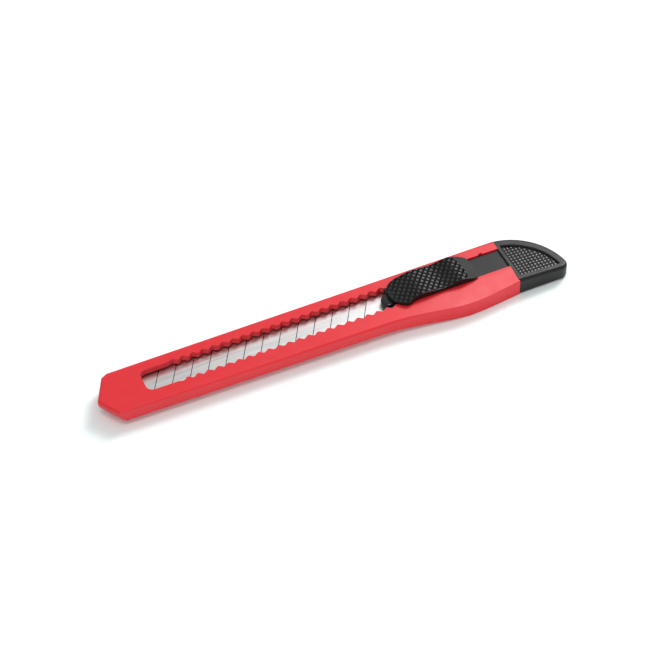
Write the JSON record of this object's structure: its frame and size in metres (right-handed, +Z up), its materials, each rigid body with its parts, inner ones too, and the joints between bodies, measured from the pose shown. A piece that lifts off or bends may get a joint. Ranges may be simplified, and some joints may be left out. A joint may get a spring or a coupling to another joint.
{
  "type": "snap-off hobby knife",
  "caption": "Slim snap-off hobby knife: moulded handle with scalloped channel, sliding thumb pad and carrier, scored 9 mm blade, pull-off end cap.",
  "frame": {"origin": "on the plane the knife lies on, under the blade's centre line, midway between the nose and the end cap to within 0.3 mm", "axes": "+X from the nose to the end cap, +Y from the cutting edge to the blade's back, +Z up out of the open channel"},
  "size_m": [0.1332, 0.0181, 0.0075],
  "materials": {
    "red_plastic": "satin",
    "black_pad_plastic": "satin",
    "black_gloss_plastic": "gloss",
    "black_cap_plastic": "satin",
    "blackened_spring_steel": "blackened",
    "blade_steel": "ground and polished"
  },
  "bodies": {
    "handle": {"handle_body": "red_plastic"},
    "slider": {"thumb_pad": "black_pad_plastic", "blade_carrier": "black_gloss_plastic", "detent_spring": "blackened_spring_steel", "blade_tip_segment": "blade_steel", "blade_segment_02": "blade_steel", "blade_segment_03": "blade_steel", "blade_segment_04": "blade_steel", "blade_segment_05": "blade_steel", "blade_segment_06": "blade_steel", "blade_segment_07": "blade_steel", "blade_segment_08": "blade_steel", "blade_segment_09": "blade_steel", "blade_segment_10": "blade_steel", "blade_segment_11": "blade_steel", "blade_segment_12": "blade_steel", "blade_segment_13": "blade_steel", "blade_tang": "blade_steel"},
    "cap": {"end_cap": "black_cap_plastic"}
  },
  "joints": [
    {"name": "blade_slide", "type": "slide", "parent": "handle", "child": "slider", "axis": [-1, 0, 0], "range_m": [0, 0.05985], "deforming": ["detent_spring"]},
    {"name": "cap_pull", "type": "slide", "parent": "handle", "child": "cap", "axis": [1, 0, 0], "range_m": [0, 0.02]}
  ]
}
